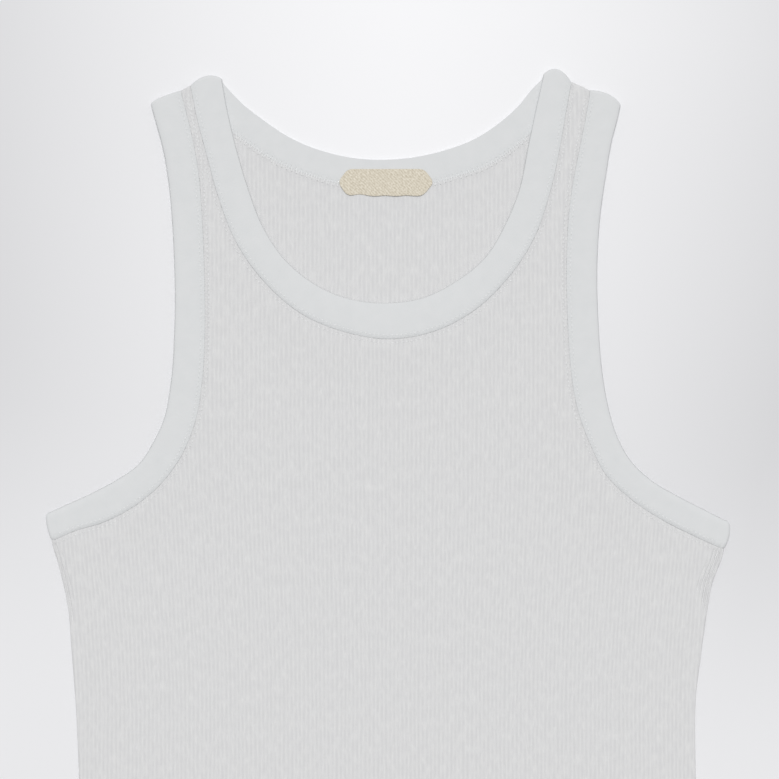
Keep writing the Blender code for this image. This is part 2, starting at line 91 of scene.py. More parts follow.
CURVE_STEPS = 8  # sections of a curve from one table row to the next
POINT_SPACING = 0.3  # of the points that stand for a seam
EDGE_START, EDGE_STEP = 8, 12  # heights of an edge's points up the sides
HEM_POINTS = 24
RIM_LOOPS = (0.5, 0.5, 0.6, 0.9)  # widths of the loops that follow a panel's edge
HEM_ROWS = (0.6, 1.4, 2.6, 5.0)  # heights of the rows next to the hem's edge
BODY_FROM, YOKE_FROM, SHOULDER_FROM = 9.0, 490.0, 655.0  # heights where the rows' spacing changes
BACK_ROW, BACK_YOKE_ROW = 18.0, 7.0
SAME_POINT = 0.001  # apart, within which two points are one
SLIVER = 0.15  # no face is narrower, as it would fold over on the wall's inner side
SHOULDER_ROW = 0.6  # spacing of the rows that go over the shoulders
ROLL_WIDTH = 0.95  # over which an edge rolls down into its seam
SCOOP_DEPTH, STRAP_EASE, SCOOP_HEIGHTS = 0.62, 0.42, (540.0, 620.0)  # less deep up the straps
CHEST_DEPTH, UNDERARM_ADDS, UNDERARM_HEIGHTS = 0.05, 0.62, (395.0, 470.0)  # deeper under the arms
NECK_LIFT, LIFT_REACH = 0.72, 14.0  # how the band holds up the back, flush with its inner side
HEM_ROLL, SIDE_ROLL = 0.75, 0.3  # how far the hem's edge and a side's edge roll in

Section = namedtuple("Section", "edge_x edge_h seam_x seam_h")
Side = namedtuple("Side", "h left right")
Rim = namedtuple("Rim", "x h")
Dip = namedtuple("Dip", "x h width length depth")
Tuck = namedtuple("Tuck", "side inset low high depth")

# The neck band's run along the back, from the left shoulder: its finished edge and its seam
NECK_BACK = (
    Section(-111.2, 676.4, -132.0, 672.3),
    Section(-105.2, 667.3, -123.3, 655.9),
    Section(-96.5, 658.6, -111.9, 645.9),
    Section(-84.4, 649.2, -97.2, 635.2),
    Section(-66.3, 637.2, -76.4, 621.4),
    Section(-45.6, 628.5, -50.9, 611.0),
    Section(-24.1, 623.4, -27.5, 604.7),
    Section(-4.0, 622.1, -2.7, 603.0),
    Section(16.1, 623.6, 22.1, 604.8),
    Section(36.9, 628.1, 44.9, 610.4),
    Section(57.6, 635.8, 67.7, 618.7),
    Section(75.7, 647.6, 87.8, 632.8),
    Section(87.8, 658.6, 101.8, 645.9),
    Section(96.5, 669.3, 112.6, 659.3),
    Section(103.9, 679.0, 122.6, 674.6),
)

# Its run along the front, between the same two shoulders
NECK_FRONT = (
    NECK_BACK[0],
    Section(-108.2, 657.3, -128.3, 651.2),
    Section(-101.8, 629.8, -121.6, 625.8),
    Section(-94.1, 603.7, -114.0, 598.1),
    Section(-84.1, 577.5, -102.0, 567.2),
    Section(-69.0, 554.8, -83.1, 540.4),
    Section(-44.2, 535.7, -54.9, 516.9),
    Section(-24.1, 528.3, -30.2, 506.9),
    Section(0.0, 526.0, 0.7, 501.8),
    Section(22.1, 529.0, 29.5, 506.5),
    Section(45.6, 540.4, 59.0, 521.9),
    Section(65.7, 557.1, 81.7, 544.4),
    Section(79.7, 580.9, 98.5, 570.8),
    Section(88.1, 602.3, 107.9, 598.0),
    Section(94.1, 631.8, 115.2, 630.5),
    Section(99.5, 657.3, 119.9, 657.9),
    NECK_BACK[-1],
)

# The armhole bands, from the shoulder to the underarm; front and back are cut alike
ARMHOLES = {
    -1: (
        Section(-158.8, 661.0, -138.4, 668.6),
        Section(-155.0, 645.2, -133.7, 647.9),
        Section(-150.9, 629.8, -130.3, 633.2),
        Section(-147.2, 608.4, -126.8, 612.4),
        Section(-144.9, 584.9, -124.8, 588.3),
        Section(-143.4, 558.1, -123.4, 559.5),
        Section(-142.7, 531.3, -122.6, 531.3),
        Section(-143.2, 504.5, -122.7, 502.5),
        Section(-145.1, 475.7, -124.6, 471.7),
        Section(-150.3, 447.7, -130.2, 442.7),
        Section(-157.5, 432.2, -138.8, 422.8),
        Section(-167.5, 417.4, -153.6, 403.2),
        Section(-181.1, 407.8, -169.9, 389.9),
        Section(-199.2, 398.1, -190.8, 379.0),
        Section(-215.7, 390.6, -209.7, 373.3),
        Section(-229.5, 385.4, -225.8, 367.4),
    ),
    1: (
        Section(155.8, 660.5, 135.2, 668.6),
        Section(153.0, 645.9, 132.1, 648.6),
        Section(149.8, 633.8, 128.8, 631.8),
        Section(146.1, 611.7, 125.2, 613.7),
        Section(142.8, 589.6, 121.9, 593.0),
        Section(140.7, 564.8, 119.9, 566.1),
        Section(140.1, 538.0, 119.6, 536.7),
        Section(141.1, 511.2, 120.6, 507.9),
        Section(143.0, 484.5, 122.6, 479.7),
        Section(146.6, 461.0, 126.8, 455.5),
        Section(153.1, 437.6, 135.3, 431.5),
        Section(162.8, 420.0, 146.3, 410.5),
        Section(176.5, 407.0, 162.8, 394.6),
        Section(195.2, 396.0, 184.6, 380.2),
        Section(213.1, 386.8, 205.0, 370.0),
        Section(228.5, 380.2, 225.5, 361.6),
    ),
}

SIDES = (
    Side(367.2, -225.9, 227.3),
    Side(353.8, -221.8, 223.4),
    Side(340.4, -218.4, 218.2),
    Side(320.3, -214.5, 214.3),
    Side(293.5, -212.3, 210.6),
    Side(260.0, -209.8, 206.5),
    Side(219.8, -207.7, 206.4),
    Side(159.5, -207.3, 207.4),
    Side(92.5, -208.7, 210.0),
    Side(0.0, -213.1, 213.7),
)

# Soft hollows in the front: beside the neck band, and under each armhole
DIPS = (
    Dip(-94.0, 520.0, 22.0, 30.0, 0.5),
    Dip(86.0, 516.0, 22.0, 30.0, 0.5),
    Dip(-180.0, 366.0, 30.0, 18.0, 0.4),
    Dip(184.0, 362.0, 30.0, 18.0, 0.4),
)

# Narrow tucks under the arms, where the cloth bunches along the side folds
TUCKS = (
    Tuck(-1, 2.3, 318.0, 364.0, 1.1),
    Tuck(-1, 4.6, 334.0, 358.0, 0.6),
    Tuck(1, 2.1, 326.0, 360.0, 1.3),
    Tuck(1, 4.4, 332.0, 360.0, 1.5),
    Tuck(1, 6.8, 338.0, 360.0, 1.1),
    Tuck(1, 9.4, 336.0, 352.0, 0.6),
)
TUCK_WIDTH = 0.62
TUCK_FADE, TUCK_END = 12.0, 2.0  # over which it fades downwards and upwards
TUCKS_BEYOND = 190.6  # from the middle; no tuck reaches further in


def smooth(rows, steps):
    """Rows read off a smooth curve through the given ones, with steps pieces between each two."""
    points = [Vector(row) for row in rows]
    spans = [(b - a).length for a, b in zip(points, points[1:])]
    chords = [(b - a) / span for a, b, span in zip(points, points[1:], spans)]
    slopes = [chords[0]]
    for before, after, one, two in zip(chords, chords[1:], spans, spans[1:]):
        slopes.append((before * two + after * one) / (one + two))
    slopes.append(chords[-1])
    found = []
    for i, span in enumerate(spans):
        for k in range(steps):
            t = k / steps
            found.append(
                points[i] * (1 + 2 * t) * (1 - t) ** 2
                + slopes[i] * span * t * (1 - t) ** 2
                + points[i + 1] * t * t * (3 - 2 * t)
                + slopes[i + 1] * span * t * t * (t - 1)
            )
    return found + [points[-1]]


def to_fold_axes(rows, outs):
    """A band's rows with both ends moved in to the axes that its folds turn about."""
    reach = BAND_HOLLOW + BAND_WALL
    ends = [Vector(rows[end]) - Vector((*out, *out)) * reach for end, out in zip((0, -1), outs)]
    return [ends[0], *(Vector(row) for row in rows[1:-1]), ends[1]]


STRAP_FROM = NECK_BACK[-1].seam_x - 1.0  # from the middle; no strap reaches further in
UP = (0.0, 1.0)
NECK_OUTS = (UP, UP)  # which way the cloth folds at the two ends of a seam
ARMHOLE_OUTS = {side: (UP, (side, 0.0)) for side in ARMHOLES}
SIDE_CURVE = [Side(*row) for row in smooth(SIDES, CURVE_STEPS)]
NECK_BACK_CURVE = [Section(*row) for row in smooth(to_fold_axes(NECK_BACK, NECK_OUTS), CURVE_STEPS)]
NECK_FRONT_CURVE = [Section(*row) for row in smooth(to_fold_axes(NECK_FRONT, NECK_OUTS), CURVE_STEPS)]
ARMHOLE_CURVES = {
    side: [Section(*row) for row in smooth(to_fold_axes(rows, ARMHOLE_OUTS[side]), CURVE_STEPS)]
    for side, rows in ARMHOLES.items()
}


def ramp(value, low, high):
    return min(1.0, max(0.0, (value - low) / (high - low)))


def eased(share):
    return share * share * (3 - 2 * share)


def side_x(h, side):
    """The outermost x of the garment's side at a height."""
    for high, low in zip(SIDE_CURVE, SIDE_CURVE[1:]):
        if h >= low.h or low is SIDE_CURVE[-1]:
            at_high, at_low = (high.left, low.left) if side < 0 else (high.right, low.right)
            return at_low + (at_high - at_low) * (h - low.h) / (high.h - low.h)


def hem_height(x):
    return HEM_RISE * (x / SIDES[-1].right) ** 2


def shoulder_h(x):
    """The outermost height of the shoulder fold."""
    side = -1 if x < 0 else 1
    armhole = ARMHOLES[side][0]
    neck = NECK_BACK[0 if side < 0 else -1]
    share = (x - armhole.seam_x) / (neck.seam_x - armhole.seam_x)
    return armhole.seam_h + (neck.seam_h - armhole.seam_h) * share


def fan(h):
    """How much wider than at the waist the ribs lie at this height."""
    return 1.0 + (RIB_FAN - 1.0) * eased(ramp(h, FAN_FROM, FAN_TO))


def seam_points(curve, outs):
    """Closely spaced points along a band's seam, and on over the folds at its ends."""
    seam = [Vector((row.seam_x, row.seam_h)) for row in curve]
    over = [Vector(out) * 2 * BAND_TOP for out in outs]
    seam = [seam[0] + over[0], *seam, seam[-1] + over[1]]
    points = []
    for start, end in zip(seam, seam[1:]):
        count = max(1, round((end - start).length / POINT_SPACING))
        points += [start.lerp(end, i / count) for i in range(count + 1)]
    return points


def tree_of(points):
    tree = kdtree.KDTree(len(points))
    for i, point in enumerate(points):
        tree.insert((*point, 0.0), i)
    tree.balance()
    return tree


NECK_SEAMS = {
    "front": tree_of(seam_points(NECK_FRONT_CURVE, NECK_OUTS)),
    "back": tree_of(seam_points(NECK_BACK_CURVE, NECK_OUTS)),
}
ARMHOLE_SEAM = tree_of([
    point for side, curve in ARMHOLE_CURVES.items() for point in seam_points(curve, ARMHOLE_OUTS[side])
])


def distance(tree, x, h):
    return tree.find((x, h, 0.0))[2]


def seam_depth(h, is_neck):
    """How far the cloth rolls down into a seam: deep round the neck, shallow beside the chest."""
    if is_neck:
        return SCOOP_DEPTH - STRAP_EASE * ramp(h, *SCOOP_HEIGHTS)
    return CHEST_DEPTH + UNDERARM_ADDS * (1 - ramp(h, *UNDERARM_HEIGHTS))


def garment_top(x, h):
    """Height of the front's face: held up beside a band and over the hem, and lower between."""
    from_band = min(distance(NECK_SEAMS["front"], x, h), distance(ARMHOLE_SEAM, x, h))
    top = BODY_TOP + (BAND_TOP - BODY_TOP) * eased(1.0 - ramp(from_band, 0.0, SAG_REACH))
    top += (HEM_TOP - BODY_TOP) * (1.0 - ramp(h, HEM_DEPTH, HEM_DEPTH + HEM_SLOPE))
    for dip in DIPS:
        away = ((x - dip.x) / dip.width) ** 2 + ((h - dip.h) / dip.length) ** 2
        top -= dip.depth * math.exp(-away)
    return top


def tucked(x, h):
    """How deep the tucks under the arm are here."""
    depth = 0.0
    side = -1 if x < 0 else 1
    if h > SIDES[0].h or abs(x) < TUCKS_BEYOND:
        return depth
    inset = side * (side_x(h, side) - x)
    for tuck in TUCKS:
        if tuck.side == side:
            along = ramp(h, tuck.low - TUCK_FADE, tuck.low)
            along *= 1 - ramp(h, tuck.high, tuck.high + TUCK_END)
            depth += tuck.depth * along * math.exp(-((inset - tuck.inset) / TUCK_WIDTH) ** 2)
    return depth


def sewn_point(row):
    """A point of a panel's edge, a seam gap away from the band that is sewn to it."""
    seam, edge = Vector((row.seam_x, row.seam_h)), Vector((row.edge_x, row.edge_h))
    return Rim(*(seam + (seam - edge).normalized() * SEAM_GAP))


def first_angle(radius):
    """Where a folded edge starts, half a seam gap from the level of its axis."""
    return math.asin(SEAM_GAP / 2 / radius)


def side_radius(h, side):
    return garment_top(side_x(h, side), h) / 2


def side_place(h, side, angle):
    """x on the panel laid out flat, for a place at an angle round the fold of the side."""
    return side_x(h, side) + side * side_radius(h, side) * (math.pi / 2 - angle - 1)


def shoulder_place(x, angle):
    return shoulder_h(x) + BAND_TOP / 2 * (math.pi / 2 - angle - 1)


def panel_edge(neck_curve):
    """The whole edge of a panel laid out flat, anticlockwise from the left end of the hem."""
    flanks = {}
    over = first_angle(BAND_TOP / 2)
    for side in (-1, 1):
        corner = hem_height(side_x(0.0, side))
        under = ARMHOLE_CURVES[side][-1].seam_h - SEAM_GAP
        flank = [
            Rim(side_place(h, side, first_angle(side_radius(h, side))), h)
            for h in (corner, *range(EDGE_START, int(under), EDGE_STEP), under)
        ]
        flank.append(Rim(side_place(under, side, math.pi / 2), under))
        flank += [sewn_point(row) for row in reversed(ARMHOLE_CURVES[side][1:-1])]
        x = ARMHOLE_CURVES[side][0].seam_x - side * SEAM_GAP
        flank += [Rim(x, shoulder_place(x, math.pi / 2)), Rim(x, shoulder_place(x, over))]
        flanks[side] = flank
    low, high = flanks[-1][0].x, flanks[1][0].x
    hem = [low + (high - low) * i / HEM_POINTS for i in range(1, HEM_POINTS)]
    left, right = neck_curve[0].seam_x - SEAM_GAP, neck_curve[-1].seam_x + SEAM_GAP
    neck = [sewn_point(row) for row in reversed(neck_curve[1:-1])]
    neck = [Rim(right, shoulder_place(right, over)), Rim(right, shoulder_place(right, math.pi / 2)), *neck]
    neck += [Rim(left, shoulder_place(left, math.pi / 2)), Rim(left, shoulder_place(left, over))]
    return [*(Rim(x, hem_height(x)) for x in hem), *flanks[1], *neck, *reversed(flanks[-1])]


def rows_up(low, high, spacing):
    count = math.ceil((high - low) / spacing)
    return [low + (high - low) * k / count for k in range(count)]


def cut_at(bm, faces, axis, places):
    """Cuts faces that lie flat at every place along an axis, halving the job each time."""
    if not places or not faces:
        return
    middle = len(places) // 2
    on_line, across = Vector((0.0, 0.0, 0.0)), Vector((0.0, 0.0, 0.0))
    on_line[axis], across[axis] = places[middle], 1.0
    parts = dict.fromkeys(part for face in faces for part in (*face.verts, *face.edges, face))
    cut = bmesh.ops.bisect_plane(
        bm, geom=list(parts), dist=SLIVER, plane_co=on_line, plane_no=across)
    found = [part for part in cut["geom"] if isinstance(part, bmesh.types.BMFace)]
    below = [face for face in found if face.calc_center_median()[axis] < places[middle]]
    above = [face for face in found if face.calc_center_median()[axis] > places[middle]]
    cut_at(bm, below, axis, places[:middle])
    cut_at(bm, above, axis, places[middle + 1:])


def cut_panel(edge, rows):
    """A flat panel cut along its ribs and across them. Its x is counted in ribs' own widths, so
    that every rib is straight."""
    bm = bmesh.new()
    outline = bm.faces.new([bm.verts.new((rim.x / fan(rim.h), rim.h, 0.0)) for rim in edge])
    for width in RIM_LOOPS:
        bmesh.ops.inset_region(
            bm, faces=[outline], thickness=width, use_even_offset=True, use_boundary=True)
    bmesh.ops.remove_doubles(bm, verts=bm.verts[:], dist=SAME_POINT)
    cut_at(bm, bm.faces[:], 1, rows)
    step = RIB_PITCH / COLUMNS_PER_RIB
    count = int(max(abs(rim.x) / fan(rim.h) for rim in edge) / step)
    cut_at(bm, bm.faces[:], 0, [k * step for k in range(-count, count + 1)])
    bmesh.ops.dissolve_degenerate(bm, edges=bm.edges[:], dist=SLIVER)
    return bm


def wandered(u, h):
    """A place across the ribs, moved as far as its rib wanders."""
    return u + WANDER * noise.noise((u / WANDER_SIZE[0], h / WANDER_SIZE[1], WANDER_DRAW))


def rib(u, h):
    """How far a rib stands out here, from 0 in a groove to 1 on a crest. No two ribs are alike."""
    wave = 0.5 + 0.5 * math.cos(2 * math.pi * wandered(u, h) / RIB_PITCH)
    varied = noise.noise((u / SPREAD_SIZE[0], h / SPREAD_SIZE[1], RIB_DRAW))
    return wave ** RIB_POWER * (RIB_MEAN + RIB_SPREAD * varied)


def round_fold(past, radius, depth):
    """How far out from a fold's axis, and how far off its level, a point of the panel comes to lie."""
    angle = math.pi / 2 - past / radius
    depth += SIDE_ROLL * math.exp(-(radius * angle / ROLL_WIDTH) ** 2)
    out = (radius - depth) * math.cos(angle)
    rise = max((radius - depth) * math.sin(angle), SEAM_GAP / 2)
    return out, rise


def laid(x, h, depth, front):
    """Where a point of a flat panel comes to lie. depth goes in from the outer face."""
    side = -1 if x < 0 else 1
    layer = 1 if front else -1
    if h < ARMHOLE_CURVES[side][-1].seam_h:
        axis, radius = side_x(h, side), side_radius(h, side)
        past = side * (x - axis) + radius
        if past > 0:
            out, rise = round_fold(past, radius, depth)
            return Vector((axis + side * (out - radius), h, radius + layer * rise))
    elif abs(x) > STRAP_FROM:
        radius = BAND_TOP / 2
        past = h - shoulder_h(x) + radius
        if past > 0:
            out, rise = round_fold(past, radius, depth)
            return Vector((x, shoulder_h(x) + out - radius, radius + layer * rise))
    return Vector((x, h, garment_top(x, h) - depth if front else depth))


def in_place(x, h, z):
    return Vector((x * MM, (h - LENGTH / 2) * MM, z * MM))


def piece_of(name, bm, material):
    """The finished object. It rides on the one body that the garment is."""
    mesh = bpy.data.meshes.new(name)
    bm.to_mesh(mesh)
    bm.free()
    mesh.shade_smooth()
    mesh.materials.append(material)
    made = bpy.data.objects.new(name, mesh)
    bpy.context.scene.collection.objects.link(made)
    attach(made, "root")
    return made


def shape_panel(name, bm, front, material):
    """Lays a cut panel down, with its ribs, rolled edges and knit directions. Solidify then gives
    it its wall on the inner side, by the share of the hem's thickness in the group "hem"."""
    neck_seam = NECK_SEAMS["front" if front else "back"]
    reach = bm.verts.layers.float.new("from_seam")
    uv = bm.loops.layers.uv.new("knit")
    for face in bm.faces:
        for loop in face.loops:
            u, h = loop.vert.co.xy
            loop[uv].uv = (wandered(u, h), h)
    hem_share = []
    for vert in bm.verts:
        u, h = vert.co.xy
        x = u * fan(h)
        from_neck, from_arm = distance(neck_seam, x, h), distance(ARMHOLE_SEAM, x, h)
        from_hem = h - hem_height(x)
        vert[reach] = min(from_neck, from_arm)
        pressed = eased(ramp(min(from_neck, from_arm, 2 * from_hem), RIB_FLAT, RIB_FADE))
        tucks = tucked(x, h) if front else 0.0
        crest = rib(u, h) * pressed * (1.0 - min(1.0, 2 * tucks))
        depth = seam_depth(h, False) * math.exp(-(from_arm / ROLL_WIDTH) ** 2)
        depth += HEM_ROLL * math.exp(-(from_hem / ROLL_WIDTH) ** 2)
        if front:
            depth += seam_depth(h, True) * math.exp(-(from_neck / ROLL_WIDTH) ** 2)
            depth += tucks - RIB_RISE * crest
        else:
            depth += NECK_LIFT * math.exp(-(from_neck / LIFT_REACH) ** 2)
            depth += INSIDE_RELIEF * RIB_RISE * (1.0 - crest)
        vert.co = in_place(*laid(x, h, depth, front))
        hem_share.append(1.0 - ramp(h, HEM_DEPTH, HEM_DEPTH + HEM_END))
    bmesh.ops.recalc_face_normals(bm, faces=bm.faces[:])
    upward = sum(face.normal.z * face.calc_area() for face in bm.faces) > 0
    if upward != front:
        bmesh.ops.reverse_faces(bm, faces=bm.faces[:])
    piece = piece_of(name, bm, material)
    hem = piece.vertex_groups.new(name="hem")
    for index, share in enumerate(hem_share):
        hem.add([index], share, "REPLACE")
    wall = piece.modifiers.new("cloth", "SOLIDIFY")
    wall.thickness = HEM_CLOTH * MM
    wall.offset = -1.0
    wall.vertex_group = "hem"
    wall.thickness_vertex_group = CLOTH / HEM_CLOTH
    return piece


def linear(hex_colour):
    """An sRGB hex colour as linear RGBA."""
    channels = [int(hex_colour[i:i + 2], 16) / 255 for i in (1, 3, 5)]
    return [c / 12.92 if c <= 0.04045 else ((c + 0.055) / 1.055) ** 2.4 for c in channels] + [1.0]


def node(tree, kind, links=None, **settings):
    """Adds one node. links is {input: output socket}; a setting names an input or a property."""
    made = tree.nodes.new(kind)
    for name, value in settings.items():
        if hasattr(made, name):
            setattr(made, name, value)
        else:
            made.inputs[name.replace("_", " ")].default_value = value
    for name, socket in (links or {}).items():
        tree.links.new(socket, made.inputs[name])
    return made


def puckers(tree, knit):
    """How far a seam's stitches dent the cloth beside them, from its distance to the nearest seam."""
    from_seam = node(tree, "ShaderNodeAttribute", attribute_name="from_seam").outputs["Fac"]
    held = node(
        tree, "ShaderNodeMapRange", {"Value": from_seam}, interpolation_type="SMOOTHSTEP",
        From_Min=DENT_REACH, From_Max=1.0)
    spread = node(
        tree, "ShaderNodeMapping", {"Vector": knit}, Scale=(1 / DENT_SIZE[0], 1 / DENT_SIZE[1], 1.0))
    dents = node(tree, "ShaderNodeTexNoise", {"Vector": spread.outputs["Vector"]}, Scale=1.0, Detail=1.0)
    clear = node(
        tree, "ShaderNodeMapRange", {"Value": dents.outputs["Fac"]}, From_Min=DENTED[0], From_Max=DENTED[1])
    return node(
        tree, "ShaderNodeMath", {0: held.outputs["Result"], 1: clear.outputs["Result"]},
        operation="MULTIPLY").outputs["Value"]


# Combed cotton rib knit, bleached and never ironed: matt, with a soft short nap that catches light
# at grazing angles. Painted shade: the grooves are painted darker, in short broken runs. Courses
# of loops cross the ribs, and thick places in the yarn run along them.
KNIT_WHITE, KNIT_SHADE, GROOVE_PAINTED_SHADE = "#E4E4E4", "#DBDBDC", "#D8D8D9"
COURSE = 1.7  # mm; the real courses are 0.8 mm apart, drawn coarser so that they show
COURSE_CHANGES = 0.35  # per mm along a course
SLUB_LENGTH, SLUB_WIDTH = 7.0, 1.1
RUN_LENGTH, RUN_WIDTH = 8.0, 4.5  # of the runs of painted shade in the grooves
SLUB_RANGE, RUN_RANGE = (0.3, 0.7), (0.25, 0.6)  # of the noise, from none of it to all of it
DENT_REACH, DENT_SIZE, DENTED = 6.0, (1.3, 1.7), (0.45, 0.62)
DENT_PAINTED_SHADE = 0.25  # share of the grooves' painted shade colour that is painted into a dent
DENT_DEPTH = 1.8  # of a dent, beside the height of a course

rib_knit = bpy.data.materials.new("cotton_rib_knit")
rib_knit.use_nodes = True
tree = rib_knit.node_tree
shader = tree.nodes["Principled BSDF"]
knit = node(tree, "ShaderNodeUVMap", uv_map="knit").outputs["UV"]
along = node(tree, "ShaderNodeMapping", {"Vector": knit}, Scale=(1 / SLUB_WIDTH, 1 / SLUB_LENGTH, 1.0))
slubs = node(tree, "ShaderNodeTexNoise", {"Vector": along.outputs["Vector"]}, Scale=1.0, Detail=3.0)
across = node(tree, "ShaderNodeMapping", {"Vector": knit}, Scale=(COURSE_CHANGES, 1 / COURSE, 1.0))
courses = node(tree, "ShaderNodeTexNoise", {"Vector": across.outputs["Vector"]}, Scale=1.0, Detail=2.0)
uneven = node(
    tree, "ShaderNodeMapRange", {"Value": slubs.outputs["Fac"]},
    From_Min=SLUB_RANGE[0], From_Max=SLUB_RANGE[1])
tone = node(
    tree, "ShaderNodeMix", {"Factor": uneven.outputs["Result"]}, data_type="RGBA",
    A=linear(KNIT_SHADE), B=linear(KNIT_WHITE))
# Painted shade: the grooves are painted darker towards the groove colour, in short broken runs
place = node(tree, "ShaderNodeSeparateXYZ", {"Vector": knit})
flank = node(tree, "ShaderNodeMath", {0: place.outputs["X"]}, operation="PINGPONG")
flank.inputs[1].default_value = RIB_PITCH / 2
groove = node(
    tree, "ShaderNodeMapRange", {"Value": flank.outputs["Value"]}, interpolation_type="SMOOTHSTEP",
    From_Max=RIB_PITCH / 2)
stretch = node(tree, "ShaderNodeMapping", {"Vector": knit}, Scale=(1 / RUN_WIDTH, 1 / RUN_LENGTH, 1.0))
runs = node(tree, "ShaderNodeTexNoise", {"Vector": stretch.outputs["Vector"]}, Scale=1.0, Detail=1.0)
broken = node(
    tree, "ShaderNodeMapRange", {"Value": runs.outputs["Fac"]}, From_Min=RUN_RANGE[0], From_Max=RUN_RANGE[1])
painted_shade = node(
    tree, "ShaderNodeMath", {0: groove.outputs["Result"], 1: broken.outputs["Result"]}, operation="MULTIPLY")
dents_and_painted_shade = puckers(tree, knit)
# Painted shade: the dents beside a seam are painted with part of the grooves' shade colour
painted_shade = node(
    tree, "ShaderNodeMath", {0: dents_and_painted_shade, 2: painted_shade.outputs["Value"]}, operation="MULTIPLY_ADD", use_clamp=True)
painted_shade.inputs[1].default_value = DENT_PAINTED_SHADE
colour = node(
    tree, "ShaderNodeMix", {"Factor": painted_shade.outputs["Value"], "A": tone.outputs["Result"]},
    data_type="RGBA", B=linear(GROOVE_PAINTED_SHADE))
loops = node(tree, "ShaderNodeMath", {0: slubs.outputs["Fac"], 1: courses.outputs["Fac"]}, operation="ADD")
relief = node(tree, "ShaderNodeMath", {0: dents_and_painted_shade, 2: loops.outputs["Value"]}, operation="MULTIPLY_ADD")
relief.inputs[1].default_value = -DENT_DEPTH
bump = node(tree, "ShaderNodeBump", {"Height": relief.outputs["Value"]}, Strength=0.35, Distance=0.0004)
tree.links.new(colour.outputs["Result"], shader.inputs["Base Color"])
tree.links.new(bump.outputs["Normal"], shader.inputs["Normal"])
shader.inputs["Roughness"].default_value = 0.95
shader.inputs["Sheen Weight"].default_value = 0.12
shader.inputs["Sheen Roughness"].default_value = 0.5
shader.inputs["Specular IOR Level"].default_value = 0.25

# Only the part that shows in the neck needs close rows
back_edge = panel_edge(NECK_BACK_CURVE)
back_top = max(rim.h for rim in back_edge)
back_rows = [
    *HEM_ROWS, *rows_up(BODY_FROM, YOKE_FROM, BACK_ROW), *rows_up(YOKE_FROM, SHOULDER_FROM, BACK_YOKE_ROW),
    *rows_up(SHOULDER_FROM, back_top, SHOULDER_ROW),
]
back = shape_panel("back", cut_panel(back_edge, back_rows), False, rib_knit)
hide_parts("back_panel")


# ---------------------------------------------------------------------------------------------
# Front panel
# The same rib knit, cut with a deep scoop neck. It lies on the back, and the bands and the hem
# hold its edges up. It is joined to the back along the side folds and the shoulder folds.

FRONT_ROW = 9.0
FLANK_X = (195.0, 233.0)  # the tucks' place on either side, where the cuts are closer
FLANK_H = (305.0, 365.0)
FLANK_ROW = 1.3


def flank_faces(bm, side):
    centres = {face: face.calc_center_median() for face in bm.faces}
    return [
        face for face, centre in centres.items()
        if side * centre.x > FLANK_X[0] and FLANK_H[0] < centre.y < FLANK_H[1]
    ]


front_edge = panel_edge(NECK_FRONT_CURVE)
front_top = max(rim.h for rim in front_edge)
front_rows = [
    *HEM_ROWS, *rows_up(BODY_FROM, SHOULDER_FROM, FRONT_ROW),
    *rows_up(SHOULDER_FROM, front_top, SHOULDER_ROW),
]
bm = cut_panel(front_edge, front_rows)
step = RIB_PITCH / COLUMNS_PER_RIB
half_steps = [(k + 0.5) * step for k in range(int(FLANK_X[0] / step), int(FLANK_X[1] / step))]
for side in (-1, 1):
    cut_at(bm, flank_faces(bm, side), 1, rows_up(*FLANK_H, FLANK_ROW))
    cut_at(bm, flank_faces(bm, side), 0, sorted(side * place for place in half_steps))
front = shape_panel("front", bm, True, rib_knit)
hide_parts("front_panel")


# ---------------------------------------------------------------------------------------------
# Neck band
# A strip of smooth, finer knit, folded double and sewn on as a ring, so that its fold is the
# finished edge. It turns over both shoulders with the panels. The armhole bands are made alike.

NECK_BOWS = (4.0, 6.1)  # how far a band's middle stands out where it turns over a fold
BOW_SECTIONS = 2 * CURVE_STEPS  # over which that fades
FOLD_STEP = 15  # degrees
PUCKER = 0.1  # how deep the seam's stitches pull the strip in
INSIDE_PULL = 0.6  # share of the seam's pull on the strip's inner side
PUCKER_LENGTH, PUCKER_WIDTH, PUCKER_REACH = 4.5, 9.0, 5.0
EDGE_SINK, EDGE_PRESS = 0.9, 0.4  # how far the front's finished edge sinks, and is pressed thinner
SINK_STEPS = ((668.0, 642.0), (636.0, 595.0))  # heights: half of it onto the back's band, half past it

# A strip's outer side from its seam on, in shares of its width, and the fold at its finished edge,
# in shares of the roll's width and of the strip's thickness. The fold rolls to the inner side.
FLAT_PART = (0.0, 0.02, 0.045, 0.08, 0.13, 0.2, 0.3, 0.42, 0.55, 0.66, 0.78, 0.88)
FOLD_ROLL = (
    (0.0, 1.0), (0.33, 0.99), (0.53, 0.925), (0.7, 0.805), (0.83, 0.655), (0.93, 0.475), (1.0, 0.175))
NECK_ROLL, ARM_ROLL = 0.035, 0.3  # share of the strip's width that rolls down to its finished edge
RING_JOIN = 1e-7  # metres apart, within which two points of a ring are one

Station = namedtuple("Station", "row out bow turn")


def strip_outline(roll):
    """A strip's whole outline, as shares of its width and of its thickness, back to its start."""
    outer = [(across, 1.0) for across in FLAT_PART if across < 1 - roll]
    outer += [(1 - roll + roll * across, through) for across, through in FOLD_ROLL]
    inner = [(across, (1 - through) ** 3) for across, through in reversed(outer[:-1])]
    return [*outer, *inner, outer[0]]


def run_of(curve, outs, bows, turn):
    """The stations of a strip along one layer of the garment."""
    last = len(curve) - 1
    stations = []
    for i, row in enumerate(curve):
        end = 0 if 2 * i < last else 1
        fade = max(0.0, 1.0 - min(i, last - i) / BOW_SECTIONS) ** 2
        stations.append(Station(row, outs[end], bows[end] * fade, turn))
    return stations


